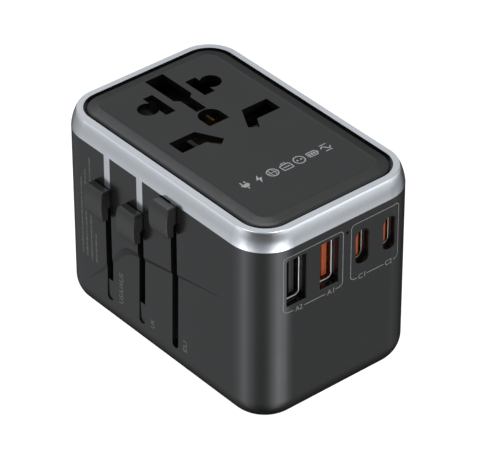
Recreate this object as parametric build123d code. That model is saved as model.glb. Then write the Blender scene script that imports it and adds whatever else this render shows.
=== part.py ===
from build123d import *
import math
import os

# Universal travel adapter, in millimetres.
# +Z up, standing on its pin face, sockets on top, plug sliders on the -Y face,
# charging ports on the +X face. The origin is the centre of the pin face.

# ---- body ----
BODY_L = 74.5
BODY_W = 48.5
CORNER_R = 9.8
BASE_FILLET = 6.35
WALL = 2.2
FLOOR = 2.6
RING_Z = 48.77
LIP_Z = 53.4
PANEL_Z = 53.85
FRONT_Y = -BODY_W / 2
SIDE_X = BODY_L / 2
INNER_X = SIDE_X - WALL
INNER_Y = BODY_W / 2 - WALL

# ---- metal ring round the socket face ----
LIP_OUTER_INSET = 1.4
LIP_INNER_INSET = 2.92
RING_CURVE = 1.47
RING_CURVE_STEPS = 7
RING_UNDERCUT_Z = 51.0
LIP_STEP = 0.16
TONGUE_W = 2.1
TONGUE_CROWN = 0.012
TONGUE_END_Z = 39.95
SHORT_TONGUE_END_Z = 48.3

# ---- slider slots in the front wall ----
SLOT_W = 2.2
SLOT_BOTTOM_Z = 7.85
US_SLOT_X = -17.45
UK_SLOT_X = -5.40
EU_SLOT_X = 6.91
STOP_TOP_Z = 13.5
STOP_GAP = 0.06
STOP_RECESS = 0.35

# ---- shallow swoosh-shaped step in the front face ----
STEP_FOOT_Z = 8.4
STEP_OUTLINE = [
    (-26.2, 8.4), (-24.1, 11.4), (-20.4, 15.5), (-18.0, 18.6), (-16.0, 20.9),
    (-13.6, 24.2), (-11.7, 26.2), (-10.2, 26.9), (-7.5, 27.3), (-4.2, 27.6),
    (1.7, 28.5), (6.9, 29.3), (12.7, 30.3), (18.1, 31.1), (25.6, 32.4),
]
STEP_SOFTNESS = [0.5, 1.2, 2.4, 2.5, 2.5, 2.5, 2.5, 2, 1.5, 1.2, 1, 1, 1, 1, 1]
STEP_RAMP_DEPTH = 0.6
STEP_RAMP_H = 1.6
STEP_SLOPES = [(-27.0, 0.0240), (-3.7, 0.0240), (6.9, 0.0165), (26.0, 0.0005)]

# ---- slider knobs ----
KNOB_W = 6.45
KNOB_H = 8.35
KNOB_PROFILE = [(2.25, 0.0), (2.8, 1.5), (3.0, 4.3), (2.85, 6.5), (2.55, 7.6), (2.1, 8.35)]
KNOB_OUT = 3.0
KNOB_GAP = 0.25
KNOB_HEEL_GAP = 0.9
KNOB_HEEL_H = 3.8
KNOB_EDGE_R = 0.3
KNOB_CORNER_R = 0.9
NECK_W = 1.7
NECK_H = 4.5
LOW_KNOB_Z = 31.55
EU_KNOB_Z = 40.0

# ---- carriages behind the front wall ----
CARRIAGE_Z = 23.5
CARRIAGE_H = 6.0
WEB_FRONT_Y = -21.4
WEB_BACK_Y = -19.2
WEB_W = 3.0
US_TRAVEL = 18.0
EU_TRAVEL = 32.3

# ---- flat-blade plug ----
BLADE_Y = 6.35
BLADE_W = 6.35
BLADE_T = 1.5
BLADE_TIP_Z = 0.5
BLADE_TOP_Z = 31.0
BLADE_HOLE_D = 3.1
BLADE_HOLE_Z = 6.6
ROTOR_D = 7.0
ROTOR_BORE = 7.12
ROTOR_BOTTOM_Z = 21.0
ROTOR_FLANGE_D = 8.2
ROTOR_HOLE = 8.6

# ---- rectangular-pin plug ----
UK_X = -5.0
UK_Y = 11.1
UK_EARTH_X = -27.23
UK_PIN_X = 4.0
UK_PIN_Y = 6.35
UK_EARTH_L = 8.0
UK_EARTH_T = 4.0
UK_TIP_Z = 0.3
UK_PIN_TOP_Z = 31.5
UK_SLEEVE_Z = 9.0
UK_SLEEVE_T = 0.5
UK_HOLE_GAP = 0.3

# ---- separate guide plate let into the pin face ----
GUIDE_LEFT = -31.9
GUIDE_RIGHT = -12.6
GUIDE_HALF_Y = 11.25
GUIDE_CORNER_R = 1.5
GUIDE_GAP = 0.08

# ---- round-pin plug ----
EU_X = 8.2
EU_Y = 9.5
EU_BOSS_L = 35.3
EU_BOSS_W = 13.7
EU_BOSS_Z = 19.4
EU_BOSS_TOP_Z = 37.5
EU_PIN_D = 4.0
EU_SLEEVE_D = 3.8
EU_CORE_D = 2.6
EU_TIP_Z = 0.4
EU_SLEEVE_Z = 9.4
EU_PIN_ROOT = 8.0
EU_HOLE_GAP = 0.3

# ---- socket panel ----
PANEL_INSET = 3.62
PANEL_T = 1.6
PANEL_FLANGE_INSET = 2.4
PANEL_FLANGE_Z = 49.6
PANEL_RIM_INSET = 5.2
PANEL_CROWN = [(3.62, 52.75), (3.95, 53.25), (4.8, 53.55), (5.9, 53.75), (7.2, 53.85)]
SOCKET_X = -4.0

# ---- contact tray and shutter ----
TRAY_LEFT = -33.0
TRAY_RIGHT = 0.8
TRAY_HALF_Y = 18.6
TRAY_Z = 34.0
TRAY_TOP = 46.5
DECK_RIGHT = 15.4
SHUTTER_Z = 46.85
SHUTTER_T = 1.65
SPRING_LEFT = -0.6
SPRING_RIGHT = 14.6
SPRING_AXIS_Z = 48.0
SPRING_R = 0.95
SPRING_WIRE = 0.3
SPRING_TURNS = 12

# ---- charging ports in the right wall: (centre y, centre z, width, height) ----
PORT_A = [(-13.42, 39.2, 5.5, 12.4), (-3.76, 39.3, 5.4, 12.4)]
PORT_C = [(6.05, 39.55, 3.8, 9.3), (14.28, 39.45, 3.6, 9.0)]
PORT_CORNER_R = 0.35
PORT_EDGE = 0.18
METAL_T = 0.4
METAL_CORNER_R = 1.0
METAL_EDGE_R = 0.17
SHELL_FACE_X = 35.0
SHELL_BACK_X = 23.4
A_TONGUE_X = 34.3
A_TONGUE_OFFSET = 2.85
A_TONGUE_T = 1.55
C_TONGUE_X = 35.2
C_TONGUE_T = 0.9
LED_Y = 1.4
LED_Z = 45.5
LED_D = 0.8

# ---- electronics bay ----
CHARGER_PCB_X = 18.6
OUTPUT_PCB_X = 21.8
PCB_T = 1.6
SCREWS = [(-28.5, -13.5), (-28.5, 13.5), (28.5, -13.5), (28.5, 13.5)]
SCREW_HEAD_D = 4.2
SCREW_RECESS_D = 4.6
SCREW_SHANK_D = 2.0


def span(x0, x1, y0, y1, z0, z1):
    """A box between two corners."""
    size = Box(x1 - x0, y1 - y0, z1 - z0)
    return Pos((x0 + x1) / 2, (y0 + y1) / 2, (z0 + z1) / 2) * size


def prism(sketch, z0, z1):
    """A flat shape in XY raised from z0 to z1."""
    return Pos(0, 0, z0) * extrude(sketch, z1 - z0)


def rounded_outline(inset):
    """The body's outline, moved inwards."""
    return RectangleRounded(BODY_L - 2 * inset, BODY_W - 2 * inset, CORNER_R - inset)


def both_sides(shape):
    """A shape and its mirror image across the XZ plane."""
    return shape + mirror(shape, Plane.XZ)


# ---------------------------------------------------------------- housing

def slot_cut(x, z0, z1, width):
    """A slot through the front wall with a round lower end."""
    radius = width / 2
    depth = WALL + 2.0
    y_mid = FRONT_Y + WALL / 2
    end = Pos(x, y_mid, z0 + radius) * Rot(90, 0, 0) * Cylinder(radius, depth)
    body = span(x - radius, x + radius, y_mid - depth / 2, y_mid + depth / 2, z0 + radius, z1)
    return body + end


def step_outline(y, drop):
    """The region below the swoosh line as a face at a given depth."""
    points = [(x, y, z - drop * soft) for (x, z), soft in zip(STEP_OUTLINE, STEP_SOFTNESS)]
    right_x = points[-1][0]
    left_x = points[0][0]
    foot = STEP_FOOT_Z - 1.2
    close = Polyline(points[-1], (right_x, y, foot), (left_x, y, foot), points[0])
    return make_face(Spline(*points) + close)


def face_step():
    """The thin wedge that lowers the front face below the swoosh line."""
    sections = []
    outside = FRONT_Y - 0.8
    top_z = STEP_OUTLINE[-1][1] + 2.0
    for x, slope in STEP_SLOPES:
        depth = slope * (top_z - STEP_FOOT_Z)
        pts = [(outside, STEP_FOOT_Z), (FRONT_Y, STEP_FOOT_Z), (FRONT_Y + depth, top_z), (outside, top_z)]
        wire = Polyline(*[(x, y, z) for y, z in pts], close=True)
        sections.append(make_face(wire))
    wedge = loft(sections, ruled=True)
    outer = extrude(step_outline(FRONT_Y, 0), 1.5, dir=(0, -1, 0))
    ramp = loft([step_outline(FRONT_Y, 0), step_outline(FRONT_Y + STEP_RAMP_DEPTH, STEP_RAMP_H)], ruled=True)
    return wedge & (outer + ramp)


def port_a_cut(y, z, width, height, x0, x1, grow=0.0, corner_r=PORT_CORNER_R):
    """A USB-A sized opening along X."""
    sketch = RectangleRounded(height + 2 * grow, width + 2 * grow, corner_r)
    return Pos(x0, y, z) * Rot(0, 90, 0) * extrude(sketch, x1 - x0)


def port_c_cut(y, z, width, height, x0, x1, grow=0.0):
    """A USB-C sized opening along X, its ends fully rounded."""
    sketch = SlotOverall(height + 2 * grow, width + 2 * grow)
    return Pos(x0, y, z) * Rot(0, 90, 0) * extrude(sketch, x1 - x0)


def base_holes(z0, z1):
    """Where the pins of the three plugs leave the pin face."""
    holes = []
    for side in (-1, 1):
        us = Pos(US_SLOT_X, side * BLADE_Y) * Circle(ROTOR_HOLE / 2)
        holes.append(prism(us, z0, z1))
        uk = Pos(UK_X, side * UK_Y) * Rectangle(UK_PIN_X + 2 * UK_HOLE_GAP, UK_PIN_Y + 2 * UK_HOLE_GAP)
        holes.append(prism(uk, z0, z1))
    earth = Pos(UK_EARTH_X, 0) * Rectangle(UK_EARTH_L + 2 * UK_HOLE_GAP, UK_EARTH_T + 2 * UK_HOLE_GAP)
    holes.append(prism(earth, z0, z1))
    eu = SlotOverall(EU_BOSS_L + 2 * EU_HOLE_GAP, EU_BOSS_W + 2 * EU_HOLE_GAP)
    holes.append(prism(Pos(EU_X, 0) * Rot(0, 0, 90) * eu, z0, z1))
    return holes


def shell_wall():
    """The plain walls and floor of the housing, before any opening."""
    shell = prism(rounded_outline(0), 0, RING_Z)
    shell = fillet(shell.faces().sort_by(Axis.Z)[0].edges(), BASE_FILLET)
    room = prism(rounded_outline(WALL), FLOOR, RING_Z + 1.0)
    room = fillet(room.faces().sort_by(Axis.Z)[0].edges(), BASE_FILLET - WALL)
    return shell - room


def guide_window(inset):
    """The outline of the pin guide plate, from below the pin face to the floor's top."""
    length = GUIDE_RIGHT - GUIDE_LEFT - 2 * inset
    width = 2 * GUIDE_HALF_Y - 2 * inset
    outline = RectangleRounded(length, width, GUIDE_CORNER_R - inset)
    return prism(Pos((GUIDE_LEFT + GUIDE_RIGHT) / 2, 0) * outline, -1.0, FLOOR + 1.0)


def pin_guide():
    """The plate let into the pin face that guides the flat blades and the earth pin."""
    plate = shell_wall() & guide_window(GUIDE_GAP)
    plate = plate & span(GUIDE_LEFT, GUIDE_RIGHT, -GUIDE_HALF_Y, GUIDE_HALF_Y, -1.0, FLOOR)
    for hole in base_holes(-1.0, FLOOR + 1.0):
        plate = plate - hole
    return plate


def soften_ports(shell):
    """A small chamfer round the mouth of each charging port."""
    mouths = []
    for edge in shell.edges():
        c = edge.center()
        for y, z, width, height in PORT_A + PORT_C:
            if c.X > SIDE_X - 0.6 and abs(c.Y - y) < width / 2 + 0.05 and abs(c.Z - z) < height / 2 + 0.05:
                mouths.append(edge)
    return chamfer(mouths, PORT_EDGE)


def outer_shell():
    """The one-piece charcoal housing, open at the top."""
    shell = shell_wall() - guide_window(0)
    for x in (US_SLOT_X, UK_SLOT_X, EU_SLOT_X):
        shell = shell - slot_cut(x, SLOT_BOTTOM_Z, RING_Z + 1.0, SLOT_W)
    shell = shell - face_step()
    for port in PORT_A:
        shell = shell - port_a_cut(*port, INNER_X - 1.0, SIDE_X + 1.0)
    for port in PORT_C:
        shell = shell - port_c_cut(*port, INNER_X - 1.0, SIDE_X + 1.0)
    shell = soften_ports(shell)
    led = Pos(INNER_X - 1.0, LED_Y, LED_Z) * Rot(0, 90, 0) * extrude(Circle(LED_D / 2), WALL + 2.0)
    shell = shell - led
    for hole in base_holes(-1.0, FLOOR + 1.0):
        shell = shell - hole
    for x, y in SCREWS:
        recess = Pos(x, y, -1.0) * extrude(Circle(SCREW_RECESS_D / 2), 2.5)
        bore = Pos(x, y, -1.0) * extrude(Circle(SCREW_SHANK_D / 2 + 0.15), FLOOR + 2.0)
        shell = shell - recess - bore
    return shell


def slot_stops():
    """The blocks that close the unused lower ends of the two short slots."""
    stops = []
    for x in (US_SLOT_X, UK_SLOT_X):
        stop = slot_cut(x, SLOT_BOTTOM_Z + STOP_GAP, STOP_TOP_Z, SLOT_W - 2 * STOP_GAP)
        stop = stop & span(x - SLOT_W, x + SLOT_W, FRONT_Y + STOP_RECESS, -INNER_Y, 0, STOP_TOP_Z)
        pad = span(x - SLOT_W, x + SLOT_W, -INNER_Y + 0.02, -INNER_Y + 0.3, SLOT_BOTTOM_Z, STOP_TOP_Z)
        stop = stop + span(x - 0.9, x + 0.9, -INNER_Y - 0.1, -INNER_Y + 0.1, 9.0, STOP_TOP_Z)
        stops.append(stop + pad)
    return Compound(children=stops)


def trim_ring():
    """The metal ring: curved band, flat lip and the tongues that run down the slots."""
    height = LIP_Z - LIP_STEP - RING_Z
    curve = []
    for i in range(RING_CURVE_STEPS):
        t = math.radians(90.0 * i / (RING_CURVE_STEPS - 1))
        inset = LIP_OUTER_INSET * (1 - math.cos(t) ** RING_CURVE) if i < RING_CURVE_STEPS - 1 else LIP_OUTER_INSET
        curve.append((inset, RING_Z + height * math.sin(t) ** RING_CURVE))
    band = Spline(*curve)
    rest = Polyline(curve[-1], (LIP_OUTER_INSET, LIP_Z), (LIP_INNER_INSET, LIP_Z), (LIP_INNER_INSET, RING_UNDERCUT_Z),
                    (WALL, RING_UNDERCUT_Z), (WALL, RING_Z), curve[0])
    profile = make_face(band + rest)
    path = rounded_outline(0).wire()
    start = path @ 0
    along = path % 0
    inward = Vector(0, 0, 1).cross(along)
    if inward.dot(Vector(0, 0, 0) - start) < 0:
        inward = inward * -1
        along = along * -1
    plane = Plane(origin=start, x_dir=inward, z_dir=along)
    ring = sweep(plane * profile, path=path)
    for x, z in ((US_SLOT_X, TONGUE_END_Z), (UK_SLOT_X, TONGUE_END_Z), (EU_SLOT_X, SHORT_TONGUE_END_Z)):
        left = x - TONGUE_W / 2
        right = x + TONGUE_W / 2
        front = ThreePointArc((left, FRONT_Y), (x, FRONT_Y - TONGUE_CROWN), (right, FRONT_Y))
        back = Polyline((right, FRONT_Y), (right, FRONT_Y + WALL), (left, FRONT_Y + WALL), (left, FRONT_Y))
        ring = ring + prism(make_face(front + back), z, RING_Z)
    return ring


# ---------------------------------------------------------------- socket face

def socket_holes():
    """The shapes of the socket openings, seen from above."""
    earth = Polyline((-30.25, -2.7), (-19.5, -2.7), (-18.4, -1.45), (-12.5, -1.45),
                     (-12.5, 1.45), (-18.4, 1.45), (-19.5, 2.7), (-30.25, 2.7), close=True)
    shapes = [make_face(earth)]
    shapes.append(Pos(-20.6, -9.4) * Circle(2.6) + Pos(-20.475, -6.2) * Rectangle(8.75, 2.8))
    shapes.append(Pos(-20.6, 9.4) * Circle(2.6) + Pos(-20.5, 6.05) * Rectangle(7.4, 3.1))
    shapes.append(Pos(-9.2, 0) * Circle(3.0) + Pos(-7.6, 0) * Rectangle(3.2, 6.0))
    for side in (-1, 1):
        pin = Pos(SOCKET_X, side * 10.8) * Rectangle(5.0, 7.6)
        leg = Polyline((-6.5, side * 7.05), (0, side * 3.55), (1.6, side * 5.7),
                       (-1.5, side * 7.6), (-4.0, side * 8.5), close=True)
        shapes.append(pin + make_face(leg))
    return shapes


def socket_panel():
    """The dark top panel with the socket openings and a softly rounded edge."""
    crown = [Pos(0, 0, z) * rounded_outline(inset) for inset, z in PANEL_CROWN]
    top = loft(crown)
    panel = top + prism(rounded_outline(PANEL_INSET), RING_UNDERCUT_Z - 0.1, PANEL_CROWN[0][1])
    panel = panel + prism(rounded_outline(PANEL_FLANGE_INSET), PANEL_FLANGE_Z, RING_UNDERCUT_Z - 0.1)
    panel = panel - prism(rounded_outline(PANEL_RIM_INSET), PANEL_FLANGE_Z - 1.0, PANEL_Z - PANEL_T)
    for shape in socket_holes():
        panel = panel - prism(shape, PANEL_Z - 4.0, PANEL_Z + 1.0)
    return panel


def contact_tray():
    """The insulating tray below the panel, with pockets for the contacts and rails for the shutter."""
    step_z = 38.2
    tray = span(TRAY_LEFT, TRAY_RIGHT, -TRAY_HALF_Y, TRAY_HALF_Y, TRAY_Z, TRAY_TOP)
    tray = tray + span(TRAY_RIGHT, 3.8, -TRAY_HALF_Y, TRAY_HALF_Y, step_z, TRAY_TOP)
    tray = tray + span(3.8, DECK_RIGHT, -TRAY_HALF_Y, TRAY_HALF_Y, TRAY_TOP - 1.2, TRAY_TOP)
    tray = tray - span(-31.4, -5.0, -2.9, 2.9, TRAY_Z + 1.2, TRAY_TOP + 1.0)
    for side in (-1, 1):
        y0, y1 = sorted((side * 4.1, side * 15.4))
        tray = tray - span(-25.6, -0.4, y0, y1, TRAY_Z + 1.2, TRAY_TOP + 1.0)
        y0, y1 = sorted((side * 3.3, side * 15.4))
        tray = tray - span(-3.6, 2.8, y0, y1, step_z + 1.0, TRAY_TOP + 1.0)
        y0, y1 = sorted((side * 15.9, side * 17.1))
        tray = tray + span(-9.0, DECK_RIGHT, y0, y1, TRAY_TOP, 49.2)
    tray = tray + span(SPRING_RIGHT, DECK_RIGHT, -2.4, 2.4, TRAY_TOP, 49.2)
    return tray


def pole_contact(side):
    """One live or neutral contact: a strip on the tray floor with pairs of spring leaves."""
    floor_z = TRAY_Z + 1.2
    leaf_top = 45.0
    t = 0.6

    def leaf_across(x, y0, y1):
        lo, hi = sorted((side * y0, side * y1))
        return span(x - t / 2, x + t / 2, lo, hi, floor_z, leaf_top)

    def leaf_along(x0, x1, y):
        lo, hi = sorted((side * (y - t / 2), side * (y + t / 2)))
        return span(x0, x1, lo, hi, floor_z, leaf_top)

    lo, hi = sorted((side * 4.6, side * 14.8))
    strip = span(-24.8, -1.0, lo, hi, floor_z, floor_z + 0.8)
    contact = strip - span(-15.5, -8.2, *sorted((side * 4.0, side * 12.0)), floor_z - 1.0, floor_z + 1.0)
    contact = contact + leaf_across(SOCKET_X - 2.75, 8.2, 13.4)
    contact = contact + leaf_across(SOCKET_X + 2.75, 8.2, 13.4)
    contact = contact + leaf_along(-23.6, -17.6, 12.1)
    contact = contact + leaf_along(-23.6, -17.6, 7.9)
    contact = contact + leaf_along(-23.6, -17.6, 4.9)
    return contact


def earth_contact():
    """The earth contact: two leaves for the long pin, two for the round pin."""
    floor_z = TRAY_Z + 1.2
    contact = span(-30.4, -5.6, -2.4, 2.4, floor_z, floor_z + 0.8)
    for side in (-1, 1):
        lo, hi = sorted((side * 2.0, side * 2.6))
        contact = contact + span(-29.4, -21.0, lo, hi, floor_z, 45.0)
        contact = contact + span(-10.9, -7.5, lo, hi, floor_z, 45.0)
    return contact


def pole_riser(side):
    """The strip that carries one pole from the tray down to the plug carriages."""
    y0, y1 = sorted((side * 9.0, side * 12.5))
    riser = span(-9.98, -9.4, y0, y1, 7.5, TRAY_Z - 0.05)
    foot = span(-9.98, -9.0, y0, y1, 7.5, 8.1)
    return riser + foot


def safety_shutter():
    """The sliding shutter that closes the rectangular-pin openings."""
    top = SHUTTER_Z + SHUTTER_T
    shutter = span(-4.6, SPRING_LEFT, -6.5, 6.5, SHUTTER_Z, 49.1)
    for side in (-1, 1):
        y0, y1 = sorted((side * 6.3, side * 15.55))
        wing = span(-7.4, 3.0, y0, y1, SHUTTER_Z, top)
        ramp = Polyline((-7.4, 0, SHUTTER_Z + 0.3), (-7.4, 0, top + 0.1), (-5.4, 0, top + 0.1), close=True)
        cutter = Pos(0, y1 + 0.1, 0) * extrude(make_face(ramp), y1 - y0 + 0.2, dir=(0, -1, 0))
        shutter = shutter + (wing - cutter)
        y0, y1 = sorted((side * 3.2, side * 6.4))
        shutter = shutter + span(-0.7, 3.0, y0, y1, SHUTTER_Z, top)
    return shutter


def shutter_spring():
    """The coil spring that pushes the shutter closed."""
    length = SPRING_RIGHT - SPRING_LEFT - SPRING_WIRE - 0.04
    path = Helix(pitch=length / SPRING_TURNS, height=length, radius=SPRING_R)
    plane = Plane(origin=path @ 0, z_dir=path % 0)
    coil = sweep(plane * Circle(SPRING_WIRE / 2), path=path, is_frenet=True)
    start = SPRING_LEFT + SPRING_WIRE / 2 + 0.02
    return Pos(start, 0, SPRING_AXIS_Z) * Rot(0, 90, 0) * coil


# ---------------------------------------------------------------- sliders

def knob(slot_x, z0):
    """A slider knob standing proud of the front face, with its neck in the slot."""
    z1 = z0 + KNOB_H
    right = slot_x + SLOT_W / 2
    left = right - KNOB_W
    face = Spline(*[(0, FRONT_Y - out, z0 + z) for out, z in KNOB_PROFILE])
    heel_z = z0 + KNOB_HEEL_H
    rest = Polyline((0, FRONT_Y - KNOB_PROFILE[-1][0], z1), (0, FRONT_Y - KNOB_GAP, z1),
                    (0, FRONT_Y - KNOB_GAP, heel_z), (0, FRONT_Y - KNOB_HEEL_GAP, heel_z - 0.3),
                    (0, FRONT_Y - KNOB_HEEL_GAP, z0), (0, FRONT_Y - KNOB_PROFILE[0][0], z0))
    cap = Pos(left, 0, 0) * extrude(make_face(face + rest), KNOB_W, dir=(1, 0, 0))
    window = Plane((left + KNOB_W / 2, FRONT_Y, (z0 + z1) / 2), x_dir=(1, 0, 0), z_dir=(0, -1, 0))
    cap = cap & extrude(window * RectangleRounded(KNOB_W, KNOB_H, KNOB_CORNER_R), KNOB_OUT + 1.0)
    front = cap.faces().filter_by(GeomType.PLANE, reverse=True).sort_by(SortBy.AREA)[-1]
    cap = fillet(front.edges(), KNOB_EDGE_R)
    neck = span(slot_x - NECK_W / 2, slot_x + NECK_W / 2, FRONT_Y - KNOB_GAP - 0.2, WEB_FRONT_Y,
                z1 - NECK_H, z1 - 0.15)
    return cap + neck


def web(slot_x, z0, z1):
    """The upright web behind the slot that joins a knob to its carriage."""
    return span(slot_x - WEB_W / 2, slot_x + WEB_W / 2, WEB_FRONT_Y, WEB_BACK_Y, z0, z1)


def us_carriage():
    """The flat-blade carriage, with two bores for the turning blade holders."""
    z1 = CARRIAGE_Z + CARRIAGE_H
    plate = span(US_SLOT_X - 4.55, US_SLOT_X + 4.55, WEB_BACK_Y - 0.1, 11.4, CARRIAGE_Z, z1)
    plate = fillet(plate.edges().filter_by(Axis.Z).sort_by(Axis.Y)[-2:], 3.0)
    plate = plate + web(US_SLOT_X, CARRIAGE_Z, LOW_KNOB_Z + KNOB_H - 0.1)
    for side in (-1, 1):
        bore = Pos(US_SLOT_X, side * BLADE_Y) * Circle(ROTOR_BORE / 2)
        plate = plate - prism(bore, CARRIAGE_Z - 1.0, z1 + 1.0)
    return plate


def us_rotor(side):
    """A round blade holder that can turn a blade to the slanted position."""
    z1 = CARRIAGE_Z + CARRIAGE_H
    flange_z = z1 + 0.1
    rotor = prism(Circle(ROTOR_D / 2), ROTOR_BOTTOM_Z, flange_z)
    rotor = chamfer(rotor.faces().sort_by(Axis.Z)[0].edges(), 0.3)
    rotor = rotor + prism(Circle(ROTOR_FLANGE_D / 2), flange_z, flange_z + 0.7)
    rotor = rotor - prism(Rectangle(BLADE_W, BLADE_T), ROTOR_BOTTOM_Z - 1.0, flange_z + 2.0)
    return Pos(US_SLOT_X, side * BLADE_Y, 0) * rotor


def us_blade(side):
    """A flat blade with its round tip hole and chamfered end."""
    blade = prism(Rectangle(BLADE_W, BLADE_T), BLADE_TIP_Z, BLADE_TOP_Z)
    tip = blade.faces().sort_by(Axis.Z)[0].edges()
    blade = chamfer(tip.filter_by(Axis.X), 0.45)
    tip = blade.faces().sort_by(Axis.Z)[0].edges()
    blade = chamfer(tip.filter_by(Axis.Y), 0.6)
    hole = Pos(0, 0, BLADE_HOLE_Z) * Rot(90, 0, 0) * Cylinder(BLADE_HOLE_D / 2, 4)
    return Pos(US_SLOT_X, side * BLADE_Y, 0) * (blade - hole)


def uk_carriage():
    """The rectangular-pin carriage, carried round the back of the blade carriage."""
    z1 = CARRIAGE_Z + CARRIAGE_H
    plate = span(UK_X - 3.4, UK_X + 3.4, WEB_BACK_Y - 0.1, 20.5, CARRIAGE_Z, z1)
    plate = plate + span(-31.0, UK_X + 3.4, 15.5, 20.5, CARRIAGE_Z, z1)
    plate = plate + span(-32.6, -22.6, -3.2, 15.6, CARRIAGE_Z, z1)
    plate = plate + span(-31.0, -22.6, 15.4, 20.5, CARRIAGE_Z, z1)
    plate = plate + web(UK_SLOT_X, CARRIAGE_Z, LOW_KNOB_Z + KNOB_H - 0.1)
    for side in (-1, 1):
        hole = Pos(UK_X, side * UK_Y) * Rectangle(UK_PIN_X, UK_PIN_Y)
        plate = plate - prism(hole, CARRIAGE_Z - 1.0, z1 + 1.0)
    earth = Pos(UK_EARTH_X, 0) * Rectangle(UK_EARTH_L, UK_EARTH_T)
    return plate - prism(earth, CARRIAGE_Z - 1.0, z1 + 1.0)


def uk_pin(side):
    """A rectangular pin: full-size tip, slimmer core inside the sleeve, full-size root."""
    full = Rectangle(UK_PIN_X, UK_PIN_Y)
    core = Rectangle(UK_PIN_X - 2 * UK_SLEEVE_T, UK_PIN_Y - 2 * UK_SLEEVE_T)
    tip = prism(full, UK_TIP_Z, UK_SLEEVE_Z)
    tip = chamfer(tip.faces().sort_by(Axis.Z)[0].edges(), 0.8)
    pin = tip + prism(core, UK_SLEEVE_Z, CARRIAGE_Z) + prism(full, CARRIAGE_Z, UK_PIN_TOP_Z)
    return Pos(UK_X, side * UK_Y, 0) * pin


def uk_pin_sleeves():
    """The insulating sleeves on the root half of the two current-carrying pins."""
    sleeves = []
    full = Rectangle(UK_PIN_X, UK_PIN_Y)
    core = Rectangle(UK_PIN_X - 2 * UK_SLEEVE_T, UK_PIN_Y - 2 * UK_SLEEVE_T)
    for side in (-1, 1):
        sleeve = prism(full - core, UK_SLEEVE_Z, CARRIAGE_Z)
        sleeves.append(Pos(UK_X, side * UK_Y, 0) * sleeve)
    return Compound(children=sleeves)


def uk_pin_earth():
    """The larger rectangular earth pin."""
    pin = prism(Rectangle(UK_EARTH_L, UK_EARTH_T), UK_TIP_Z, UK_PIN_TOP_Z)
    pin = chamfer(pin.faces().sort_by(Axis.Z)[0].edges(), 0.9)
    return Pos(UK_EARTH_X, 0, 0) * pin


def eu_carriage():
    """The round-pin plug body, which slides out of the pin face with its two pins."""
    outline = Pos(EU_X, 0) * Rot(0, 0, 90) * SlotOverall(EU_BOSS_L, EU_BOSS_W)
    boss = prism(outline, EU_BOSS_Z, EU_BOSS_TOP_Z)
    boss = fillet(boss.faces().sort_by(Axis.Z)[0].edges(), 1.0)
    bridge_z = EU_TRAVEL + FLOOR + 0.9
    bridge = span(EU_SLOT_X - WEB_W / 2, EU_SLOT_X + WEB_W / 2, WEB_BACK_Y - 0.1, -10.0, bridge_z, bridge_z + 5.0)
    boss = boss + bridge + web(EU_SLOT_X, bridge_z + 2.0, EU_KNOB_Z + KNOB_H - 0.1)
    for side in (-1, 1):
        hole = Pos(EU_X, side * EU_Y) * Circle(EU_SLEEVE_D / 2)
        boss = boss - prism(hole, EU_BOSS_Z - 1.0, EU_BOSS_Z + EU_PIN_ROOT)
    return boss


def eu_pin(side):
    """A round pin with a domed tip and a slimmer core inside its sleeve."""
    tip = prism(Circle(EU_PIN_D / 2), EU_TIP_Z, EU_SLEEVE_Z)
    tip = fillet(tip.faces().sort_by(Axis.Z)[0].edges(), 1.7)
    core = prism(Circle(EU_CORE_D / 2), EU_SLEEVE_Z, EU_BOSS_Z + EU_PIN_ROOT)
    return Pos(EU_X, side * EU_Y, 0) * (tip + core)


def eu_pin_sleeves():
    """The insulating sleeves on the root half of the round pins."""
    sleeves = []
    for side in (-1, 1):
        ring = Circle(EU_SLEEVE_D / 2) - Circle(EU_CORE_D / 2)
        sleeve = prism(ring, EU_SLEEVE_Z, EU_BOSS_Z + EU_PIN_ROOT)
        sleeves.append(Pos(EU_X, side * EU_Y, 0) * sleeve)
    return Compound(children=sleeves)


# ---------------------------------------------------------------- inside

def inner_frame():
    """The inner frame: a base plate and three partitions between the plug carriages."""
    low_y = 17.4
    high_y = 21.5
    plate = span(-30.6, 30.6, -low_y, low_y, FLOOR + 0.05, FLOOR + 1.25)
    walls = [(-11.2, -10.0, -1.0, TRAY_Z), (-0.7, 0.5, 1.0, TRAY_Z), (16.0, 17.4, 1.0, TRAY_TOP - 1.0)]
    frame = plate
    for x0, x1, back, top in walls:
        back_low = low_y if back > 0 else 14.9
        back_high = high_y if back > 0 else 14.9
        frame = frame + span(x0, x1, -low_y, back_low, FLOOR + 0.05, 7.2)
        frame = frame + span(x0, x1, -high_y, back_high, 7.0, top)
    frame = frame + span(-0.7, 17.4, 18.4, high_y, 7.2, 33.0)
    for x, y in SCREWS:
        frame = frame + Pos(x, y, FLOOR + 1.25) * extrude(Circle(2.6), 1.1)
        frame = frame - Pos(x, y, 0) * extrude(Circle(SCREW_SHANK_D / 2 + 0.02), 8)
    for hole in base_holes(0, 5.0):
        frame = frame - hole
    return frame


def case_screws():
    """Four screws that hold the inner frame to the floor of the housing."""
    screws = []
    for x, y in SCREWS:
        head = Pos(0, 0, 0.35) * extrude(Circle(SCREW_HEAD_D / 2), 1.15)
        head = fillet(head.faces().sort_by(Axis.Z)[0].edges(), 0.4)
        for angle in (0, 90):
            slot = Pos(0, 0, 0.35) * Rot(0, 0, angle) * Box(2.4, 0.6, 1.0)
            head = head - slot
        screw = head + Pos(0, 0, 1.4) * extrude(Circle(SCREW_SHANK_D / 2), 3.3)
        screws.append(Pos(x, y, 0) * screw)
    return Compound(children=screws)


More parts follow.
